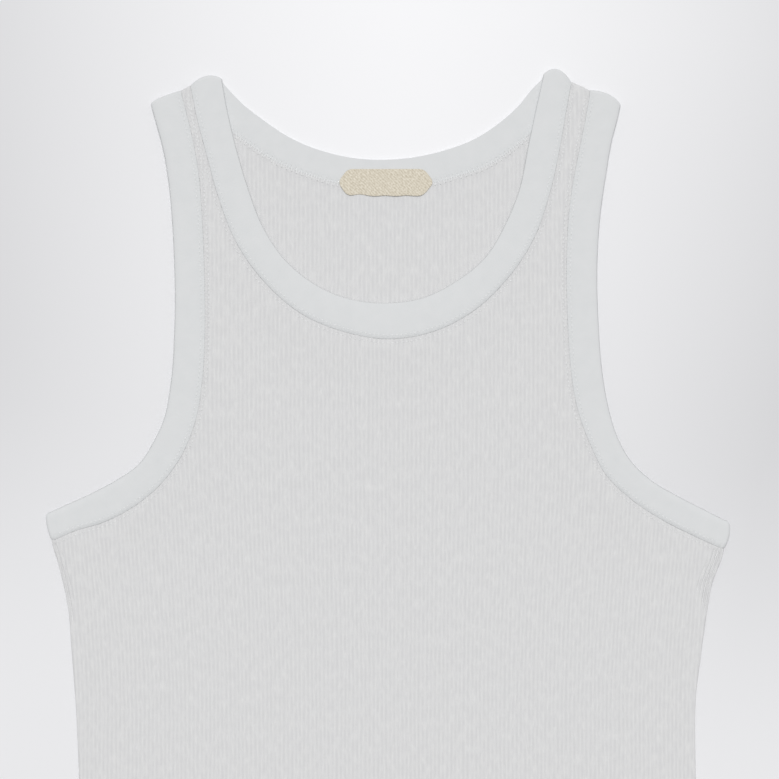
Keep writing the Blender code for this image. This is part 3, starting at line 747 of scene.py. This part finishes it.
def ring_of(front_curve, back_curve, outs, bows):
    """The stations of a whole ring: along the front, over a fold, back under it and over again."""
    turns = range(90 - FOLD_STEP, -90, -FOLD_STEP)
    ring = run_of(front_curve, outs, bows, 90)
    ring += [Station(front_curve[-1], outs[1], bows[1], turn) for turn in turns]
    ring += reversed(run_of(back_curve, outs, bows, -90))
    ring += [Station(front_curve[0], outs[0], bows[0], -turn) for turn in turns]
    return ring + ring[:1]


def on_strip(station, across, through, pulled):
    """A point of a strip, from its seam at 0 to its finished edge at 1 across."""
    row, turn = station.row, math.radians(station.turn)
    inward = (2 * through - 1) * pulled * (1.0 if through > 0.5 else INSIDE_PULL)
    reach = BAND_HOLLOW + BAND_WALL * through - inward
    aside = reach * math.cos(turn) + station.bow * 4 * across * (1 - across)
    return Vector((
        row.seam_x + (row.edge_x - row.seam_x) * across + station.out[0] * aside,
        row.seam_h + (row.edge_h - row.seam_h) * across + station.out[1] * aside,
        BAND_HOLLOW + BAND_WALL + reach * math.sin(turn),
    ))


def shape_band(name, ring, is_neck, material):
    """A strip bent round a ring of stations, pulled in by its seam, with its knit's directions."""
    middles = [on_strip(station, 0.5, 0.5, 0.0) for station in ring]
    lengths = [0.0]
    for a, b in zip(middles, middles[1:]):
        lengths.append(lengths[-1] + (b - a).length)
    outline = strip_outline(NECK_ROLL if is_neck else ARM_ROLL)
    bm = bmesh.new()
    columns, rows = len(ring) - 1, len(outline) - 1
    bmesh.ops.create_grid(bm, x_segments=columns, y_segments=rows, size=0.5)
    reach = bm.verts.layers.float.new("from_seam")
    uv = bm.loops.layers.uv.new("knit")
    cells = {
        vert: (round((vert.co.x + 0.5) * columns), round((vert.co.y + 0.5) * rows))
        for vert in bm.verts
    }
    for face in bm.faces:
        for loop in face.loops:
            i, j = cells[loop.vert]
            across = outline[j][0]
            girth = across if 2 * j < rows else 2 - across
            loop[uv].uv = (lengths[i], girth * strip_width(ring[i]))
    for vert, (i, j) in cells.items():
        across, through = outline[j]
        width = strip_width(ring[i])
        from_seam, from_edge = across * width, (1 - across) * width
        vert[reach] = from_seam
        wrinkle = 0.5 + noise.noise((lengths[i] / PUCKER_LENGTH, from_seam / PUCKER_WIDTH, through))
        pulled = seam_depth(ring[i].row.seam_h, is_neck) * math.exp(-(from_seam / ROLL_WIDTH) ** 2)
        pulled += PUCKER * wrinkle * math.exp(-(from_seam / PUCKER_REACH) ** 2)
        pulled += 0.5 * PUCKER * wrinkle * math.exp(-(from_edge / PUCKER_REACH) ** 2)
        place = on_strip(ring[i], across, through, pulled)
        if is_neck and ring[i].turn == 90:
            share = sum(eased(ramp(ring[i].row.edge_h, *step)) for step in SINK_STEPS) / 2
            place.z -= (EDGE_SINK + EDGE_PRESS * through) * share * across ** 3
        vert.co = in_place(*place)
    bmesh.ops.remove_doubles(bm, verts=bm.verts[:], dist=RING_JOIN)
    bmesh.ops.recalc_face_normals(bm, faces=bm.faces[:])
    return piece_of(name, bm, material)


def strip_width(station):
    row = station.row
    return math.hypot(row.edge_x - row.seam_x, row.edge_h - row.seam_h)


# Fine interlock in the same bleached cotton, smoother than the body and a little cooler in tone,
# because its even face has no grooves
BAND_WHITE, BAND_SHADE = "#E2E3E4", "#DBDDDE"
BAND_DENT_PAINTED_SHADE = "#DADCDD"  # painted shade in the dents beside the seam
WALE, WALE_WIDTH = 1.3, 4.0  # mm; the real ones are 0.7 mm apart, drawn coarser so that they show
BLOTS = 0.11  # per mm; paler and darker places

band_knit = bpy.data.materials.new("cotton_interlock")
band_knit.use_nodes = True
tree = band_knit.node_tree
shader = tree.nodes["Principled BSDF"]
knit = node(tree, "ShaderNodeUVMap", uv_map="knit").outputs["UV"]
wales = node(tree, "ShaderNodeMapping", {"Vector": knit}, Scale=(1 / WALE, 1 / WALE_WIDTH, 1.0))
fine = node(tree, "ShaderNodeTexNoise", {"Vector": wales.outputs["Vector"]}, Scale=1.0, Detail=2.0)
blot = node(tree, "ShaderNodeTexNoise", {"Vector": knit}, Scale=BLOTS, Detail=2.0)
tone = node(
    tree, "ShaderNodeMix", {"Factor": blot.outputs["Fac"]}, data_type="RGBA",
    A=linear(BAND_SHADE), B=linear(BAND_WHITE))
dents_and_painted_shade = puckers(tree, knit)
# Painted shade: the dents beside the seam are painted darker
colour = node(
    tree, "ShaderNodeMix", {"Factor": dents_and_painted_shade, "A": tone.outputs["Result"]}, data_type="RGBA",
    B=linear(BAND_DENT_PAINTED_SHADE))
relief = node(tree, "ShaderNodeMath", {0: dents_and_painted_shade, 2: fine.outputs["Fac"]}, operation="MULTIPLY_ADD")
relief.inputs[1].default_value = -DENT_DEPTH / 2  # the folded strip is stiffer
bump = node(tree, "ShaderNodeBump", {"Height": relief.outputs["Value"]}, Strength=0.25, Distance=0.0004)
tree.links.new(colour.outputs["Result"], shader.inputs["Base Color"])
tree.links.new(bump.outputs["Normal"], shader.inputs["Normal"])
shader.inputs["Roughness"].default_value = 0.9
shader.inputs["Sheen Weight"].default_value = 0.12
shader.inputs["Sheen Roughness"].default_value = 0.45
shader.inputs["Specular IOR Level"].default_value = 0.25

neck_ring = ring_of(NECK_FRONT_CURVE, NECK_BACK_CURVE, NECK_OUTS, NECK_BOWS)
neck_band = shape_band("neck_ring", neck_ring, True, band_knit)
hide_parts("neck_band")


# ---------------------------------------------------------------------------------------------
# Armhole bands
# Strips of the same folded interlock, one round each armhole. Each turns over the shoulder and
# under the arm, and its corner there is slightly bowed out.

ARMHOLE_BOWS = {-1: (0.5, 1.0), 1: (2.4, 2.0)}
ARMHOLE_PIECES = {-1: ("left_arm_ring", "armhole_band_left"), 1: ("right_arm_ring", "armhole_band_right")}

arm_bands = []
for side, (name, cad_name) in ARMHOLE_PIECES.items():
    curve = ARMHOLE_CURVES[side]
    ring = ring_of(curve, curve, ARMHOLE_OUTS[side], ARMHOLE_BOWS[side])
    arm_band = shape_band(name, ring, False, band_knit)
    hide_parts(cad_name)
    arm_bands.append(arm_band)


# ---------------------------------------------------------------------------------------------
# Neck label
# A tape of cream cotton twill with pointed ends, sewn inside the back of the neck along its top
# and its points. Its lower edge is loose and waves a little. Its face is left blank.

LABEL_CENTRE = Vector((-1.4, 606.9))
LABEL_HALF_LENGTH, LABEL_HALF_WIDTH = 32.2, 8.9
LABEL_POINT = 6.6  # how far each end comes to a point
LABEL_CORNER, LABEL_CORNER_STEPS = 3.0, 4  # of the roundings
LABEL_LOOPS = (0.35, 0.5)  # widths of the loops that follow its edge
LABEL_COLUMN, LABEL_ROW = 1.3, 1.1
LABEL_TAPE, LABEL_ROLL = 0.45, 0.5  # thickness, and over what width the long edges turn down
LABEL_TOP = 2.75  # height of its face on the band
LABEL_LOOSE = 2.0  # above its middle, from where the tape is loose downwards
LABEL_WAVE, LABEL_SWAY = 0.8, 1.5  # of its lower edge, up and along the cloth
WAVE_LENGTH, WAVE_DRAW = 12.0, 5.0

side = LABEL_HALF_LENGTH - LABEL_POINT
bm = bmesh.new()
tape = bm.faces.new([bm.verts.new((x, h, 0.0)) for x, h in (
    (-side, -LABEL_HALF_WIDTH), (side, -LABEL_HALF_WIDTH), (LABEL_HALF_LENGTH, 0.0),
    (side, LABEL_HALF_WIDTH), (-side, LABEL_HALF_WIDTH), (-LABEL_HALF_LENGTH, 0.0),
)])
bmesh.ops.bevel(
    bm, geom=tape.verts[:], offset=LABEL_CORNER, offset_type="OFFSET", segments=LABEL_CORNER_STEPS,
    profile=0.5, affect="VERTICES", material=-1)
tape = bm.faces[:]
for width in LABEL_LOOPS:
    bmesh.ops.inset_region(bm, faces=tape, thickness=width, use_even_offset=True, use_boundary=True)
bmesh.ops.remove_doubles(bm, verts=bm.verts[:], dist=SAME_POINT)
rows, columns = int(LABEL_HALF_WIDTH / LABEL_ROW), int(LABEL_HALF_LENGTH / LABEL_COLUMN)
cut_at(bm, bm.faces[:], 1, [k * LABEL_ROW for k in range(-rows, rows + 1)])
cut_at(bm, bm.faces[:], 0, [k * LABEL_COLUMN for k in range(-columns, columns + 1)])
uv = bm.loops.layers.uv.new("twill")
for face in bm.faces:
    for loop in face.loops:
        loop[uv].uv = loop.vert.co.xy
for vert in bm.verts:
    x, h = vert.co.xy
    loose = eased(ramp(-h, -LABEL_LOOSE, LABEL_HALF_WIDTH))
    wave = noise.noise((x / WAVE_LENGTH, 0.0, WAVE_DRAW))
    rim = max(abs(h) - LABEL_HALF_WIDTH + LABEL_ROLL, 0.0)
    vert.co = in_place(
        LABEL_CENTRE.x + x, LABEL_CENTRE.y + h - LABEL_SWAY * wave * loose,
        LABEL_TOP + LABEL_WAVE * wave * loose - rim ** 2 / 2)
bmesh.ops.recalc_face_normals(bm, faces=bm.faces[:])
if sum(face.normal.z for face in bm.faces) < 0:
    bmesh.ops.reverse_faces(bm, faces=bm.faces[:])

# Unbleached cotton twill tape: its fine diagonal shows as a soft mottle
TAPE_CREAM, TAPE_SHADE = "#EFE8D8", "#C4BAA6"
TWILL = 1.1  # mm; the real lines are 0.5 mm apart, drawn coarser so that they show
MOTTLES, MOTTLE_RANGE = 0.7, (0.3, 0.7)  # per mm; of the noise, from none of it to all of it
MOTTLE_SHARE = 0.7  # the diagonal has the rest

twill = bpy.data.materials.new("cotton_twill_tape")
twill.use_nodes = True
tree = twill.node_tree
shader = tree.nodes["Principled BSDF"]
weave = node(tree, "ShaderNodeUVMap", uv_map="twill").outputs["UV"]
diagonal = node(
    tree, "ShaderNodeTexWave", {"Vector": weave}, bands_direction="DIAGONAL", Scale=math.pi / TWILL / 10,
    Distortion=5.0, Detail=3.0)
mottle = node(tree, "ShaderNodeTexNoise", {"Vector": weave}, Scale=MOTTLES, Detail=3.0)
blots = node(
    tree, "ShaderNodeMapRange", {"Value": mottle.outputs["Fac"]},
    From_Min=MOTTLE_RANGE[0], From_Max=MOTTLE_RANGE[1], To_Max=MOTTLE_SHARE)
mixed = node(
    tree, "ShaderNodeMath", {0: diagonal.outputs["Fac"], 2: blots.outputs["Result"]},
    operation="MULTIPLY_ADD")
mixed.inputs[1].default_value = 1.0 - MOTTLE_SHARE
tone = node(
    tree, "ShaderNodeMix", {"Factor": mixed.outputs["Value"]}, data_type="RGBA",
    A=linear(TAPE_SHADE), B=linear(TAPE_CREAM))
bump = node(tree, "ShaderNodeBump", {"Height": diagonal.outputs["Fac"]}, Strength=0.3, Distance=0.0002)
tree.links.new(tone.outputs["Result"], shader.inputs["Base Color"])
tree.links.new(bump.outputs["Normal"], shader.inputs["Normal"])
shader.inputs["Roughness"].default_value = 0.8
shader.inputs["Specular IOR Level"].default_value = 0.3

label = piece_of("label", bm, twill)
wall = label.modifiers.new("tape", "SOLIDIFY")
wall.thickness = LABEL_TAPE * MM
wall.offset = -1.0
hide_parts("neck_label")


# ---------------------------------------------------------------------------------------------
# Stitches
# White cotton thread. A row of topstitches runs on each side of every band's seam and round the
# hem, and the loopers' thread zigzags over the neck seam's inside, where the back shows it.

STITCH_PITCH = 3.1
STITCH_LENGTH, STITCH_WIDTH, STITCH_HEIGHT = 2.3, 0.6, 0.4  # drawn thicker so that they show
ROW_OFFSETS = (-2.6, 2.6)  # from the seam towards the body
HEM_STITCHES = (15.5, 18.5)  # above the hem's edge
ZIGZAG_PITCH, ZIGZAG_REACH = 1.8, 2.4
FOLD_CLEAR = 5.0  # no stitch starts this close to a fold
BACK_INSIDE = 2.4  # all that lies higher is the front
PROBE = 20.0  # from how far off the cloth's surface is looked for
THREAD_SHADE, THREAD_WHITE = "#E4E5E6", "#F4F5F5"
PLIES = 1500.0  # per metre of thread

depsgraph = bpy.context.evaluated_depsgraph_get()
faces_of = {
    piece: BVHTree.FromObject(piece, depsgraph) for piece in (front, back, neck_band, *arm_bands)}


def surface(pieces, x, h, down):
    """The outer face of some pieces at a place, seen from above or from below."""
    start = in_place(x, h, PROBE if down else -PROBE)
    toward = Vector((0.0, 0.0, -1.0 if down else 1.0))
    hits = [faces_of[piece].ray_cast(start, toward)[0] for piece in pieces]
    hits = [hit for hit in hits if hit]
    return min(hits, key=lambda hit: (hit - start).length) if hits else None


bm = bmesh.new()
bmesh.ops.create_uvsphere(bm, u_segments=6, v_segments=4, radius=1.0)
one_stitch = bpy.data.meshes.new("one_stitch")
bm.to_mesh(one_stitch)
bm.free()


def add_stitch(bm, pieces, start, end, down, highest=2 * HEM_TOP):
    """One thread, lying on the cloth from start to end, where no layer lies higher."""
    ends = [surface(pieces, *point, down) for point in (start, end)]
    if None in ends or max(hit.z for hit in ends) > highest * MM:
        return
    along = ends[1] - ends[0]
    shape = Matrix.Diagonal((
        along.length / 2, STITCH_WIDTH / 2 * MM, STITCH_HEIGHT / 2 * MM, 1.0))
    turn = along.to_track_quat("X", "Z").to_matrix().to_4x4()
    stitch = one_stitch.copy()
    stitch.transform(Matrix.Translation((ends[0] + ends[1]) / 2) @ turn @ shape)
    bm.from_mesh(stitch)
    bpy.data.meshes.remove(stitch)


def seam_walk(curve, pitch):
    """Even steps along a band's seam, clear of its folds: place, direction, direction to the body."""
    seam = [Vector((row.seam_x, row.seam_h)) for row in curve]
    inward = [Vector((row.seam_x - row.edge_x, row.seam_h - row.edge_h)) for row in curve]
    total = sum((b - a).length for a, b in zip(seam, seam[1:]))
    walked, next_at = 0.0, FOLD_CLEAR
    for a, b, body in zip(seam, seam[1:], inward):
        step = (b - a).length
        while next_at < walked + step and next_at < total - FOLD_CLEAR:
            direction = (b - a).normalized()
            side_on = Vector((-direction.y, direction.x))
            if side_on.dot(body) < 0:
                side_on.negate()
            yield a.lerp(b, (next_at - walked) / step), direction, side_on
            next_at += pitch
        walked += step


def topstitch(bm, pieces, curve, down):
    for place, direction, to_body in seam_walk(curve, STITCH_PITCH):
        for offset in ROW_OFFSETS:
            middle = place + to_body * offset
            half = direction * STITCH_LENGTH / 2
            add_stitch(bm, pieces, middle - half, middle + half, down)


bm = bmesh.new()
topstitch(bm, (front, neck_band), NECK_FRONT_CURVE, True)
topstitch(bm, (back, neck_band), NECK_BACK_CURVE, False)
for arm_band, curve in zip(arm_bands, ARMHOLE_CURVES.values()):
    topstitch(bm, (front, arm_band), curve, True)
    topstitch(bm, (back, arm_band), curve, False)
for up in HEM_STITCHES:
    for k in range(int(2 * (SIDES[-1].right - FOLD_CLEAR) / STITCH_PITCH)):
        x = FOLD_CLEAR - SIDES[-1].right + k * STITCH_PITCH
        for piece, down in ((front, True), (back, False)):
            start, end = x - STITCH_LENGTH / 2, x + STITCH_LENGTH / 2
            add_stitch(
                bm, (piece,), (start, hem_height(start) + up), (end, hem_height(end) + up), down)
zigzag = 1
for place, direction, to_body in seam_walk(NECK_BACK_CURVE, ZIGZAG_PITCH):
    lean = direction * ZIGZAG_PITCH / 2
    across = to_body * ZIGZAG_REACH * zigzag
    start, end = place - across - lean, place + across + lean
    add_stitch(bm, (front, back, neck_band), start, end, True, highest=BACK_INSIDE)
    zigzag = -zigzag

# Mercerised cotton thread, bleached, with its two plies showing as a slight unevenness
thread = bpy.data.materials.new("cotton_thread")
thread.use_nodes = True
tree = thread.node_tree
shader = tree.nodes["Principled BSDF"]
place = node(tree, "ShaderNodeTexCoord").outputs["Object"]
plies = node(tree, "ShaderNodeTexNoise", {"Vector": place}, Scale=PLIES, Detail=1.0)
tone = node(
    tree, "ShaderNodeMix", {"Factor": plies.outputs["Fac"]}, data_type="RGBA",
    A=linear(THREAD_SHADE), B=linear(THREAD_WHITE))
tree.links.new(tone.outputs["Result"], shader.inputs["Base Color"])
shader.inputs["Roughness"].default_value = 0.6
shader.inputs["Sheen Weight"].default_value = 0.2

piece_of("seam_stitches", bm, thread)
bpy.data.meshes.remove(one_stitch)


# ---------------------------------------------------------------------------------------------
# Floor, light and camera
# A sheet of white paper under a large, distant softbox that stands beyond the shoulders. Its
# colour carries painted light: painted darker towards its sides and down the sheet, and evenly pale below the
# armholes.

FLOOR_HALF, FLOOR_DROP = 2.0, 0.0003  # metres, as all from here on

floor_mesh = bpy.data.meshes.new("floor")
bm = bmesh.new()
bmesh.ops.create_grid(bm, x_segments=1, y_segments=1, size=FLOOR_HALF)
bm.to_mesh(floor_mesh)
bm.free()
floor = bpy.data.objects.new("floor", floor_mesh)
bpy.context.scene.collection.objects.link(floor)
floor.location.z = -FLOOR_DROP

# Painted light: the paper is painted darker away from a pool at the top middle, and an even paler tone below
# the armholes
FALLOFF_TURN = math.radians(6)
FALLOFF_CENTRE = -0.025  # across the turned sheet
FALLOFF_REACH, FALLOFF_POWER = 0.328, 1.6  # from there to its darkest, and how late it darkens
FALLOFF_DOWN = (0.38, 0.093, 0.29)  # from where to where the painted falloff darkens it down the sheet, and how much
PAINTED_LIGHT_BELOW = (0.16, -0.125)
PAPER_WHITE, PAPER_PAINTED_FALLOFF, PAPER_PAINTED_LIGHT_BELOW = "#FDFDFF", "#DBDBDD", "#EEEEF0"
paper = bpy.data.materials.new("paper_with_painted_light")
paper.use_nodes = True
tree = paper.node_tree
shader = tree.nodes["Principled BSDF"]
place = node(tree, "ShaderNodeTexCoord").outputs["Object"]
turned = node(tree, "ShaderNodeMapping", {"Vector": place}, Rotation=(0.0, 0.0, FALLOFF_TURN))
turned.inputs["Location"].default_value[0] = -FALLOFF_CENTRE
sheet = node(tree, "ShaderNodeSeparateXYZ", {"Vector": turned.outputs["Vector"]})
aside = node(tree, "ShaderNodeMath", {0: sheet.outputs["X"]}, operation="ABSOLUTE")
share = node(tree, "ShaderNodeMath", {0: aside.outputs["Value"]}, operation="DIVIDE")
share.inputs[1].default_value = FALLOFF_REACH
sides = node(tree, "ShaderNodeMath", {0: share.outputs["Value"]}, operation="POWER")
sides.inputs[1].default_value = FALLOFF_POWER
down = node(
    tree, "ShaderNodeMapRange", {"Value": sheet.outputs["Y"]},
    From_Min=FALLOFF_DOWN[0], From_Max=FALLOFF_DOWN[1], To_Max=FALLOFF_DOWN[2])
falloff = node(tree, "ShaderNodeMath", {0: sides.outputs["Value"], 1: down.outputs["Result"]}, operation="ADD")
falloff_tone = node(
    tree, "ShaderNodeMix", {"Factor": falloff.outputs["Value"]}, data_type="RGBA",
    A=linear(PAPER_WHITE), B=linear(PAPER_PAINTED_FALLOFF))
below = node(
    tree, "ShaderNodeMapRange", {"Value": sheet.outputs["Y"]}, interpolation_type="SMOOTHSTEP",
    From_Min=PAINTED_LIGHT_BELOW[0], From_Max=PAINTED_LIGHT_BELOW[1])
toned = node(
    tree, "ShaderNodeMix", {"Factor": below.outputs["Result"], "A": falloff_tone.outputs["Result"]},
    data_type="RGBA", B=linear(PAPER_PAINTED_LIGHT_BELOW))
tree.links.new(toned.outputs["Result"], shader.inputs["Base Color"])
shader.inputs["Roughness"].default_value = 0.9
floor_mesh.materials.append(paper)

ROOM_LIGHT = 0.40
SOFTBOX_SPREAD, SOFTBOX_TILT, SOFTBOX_ENERGY = math.radians(26), math.radians(-16), 1.80
SOFTBOX_AT = (0.0, 0.8, 2.8)
LENS, SENSOR_WIDTH = 100.0, 36.0  # mm
CAMERA_AT = (0.001, 0.1266, 1.453)  # straight over the chest

world = bpy.data.worlds.new("studio")
bpy.context.scene.world = world
world.use_nodes = True
world.node_tree.nodes["Background"].inputs["Color"].default_value = (1.0, 1.0, 1.0, 1.0)
world.node_tree.nodes["Background"].inputs["Strength"].default_value = ROOM_LIGHT

lamp = bpy.data.lights.new("softbox", "SUN")
lamp.angle = SOFTBOX_SPREAD
lamp.energy = SOFTBOX_ENERGY
softbox = bpy.data.objects.new("softbox", lamp)
bpy.context.scene.collection.objects.link(softbox)
softbox.location = SOFTBOX_AT
softbox.rotation_euler = Euler((SOFTBOX_TILT, 0.0, 0.0))

camera_data = bpy.data.cameras.new("camera")
camera_data.lens = LENS
camera_data.sensor_width = SENSOR_WIDTH
camera = bpy.data.objects.new("camera", camera_data)
bpy.context.scene.collection.objects.link(camera)
camera.location = CAMERA_AT
bpy.context.scene.camera = camera
bpy.context.scene.view_settings.view_transform = "Standard"
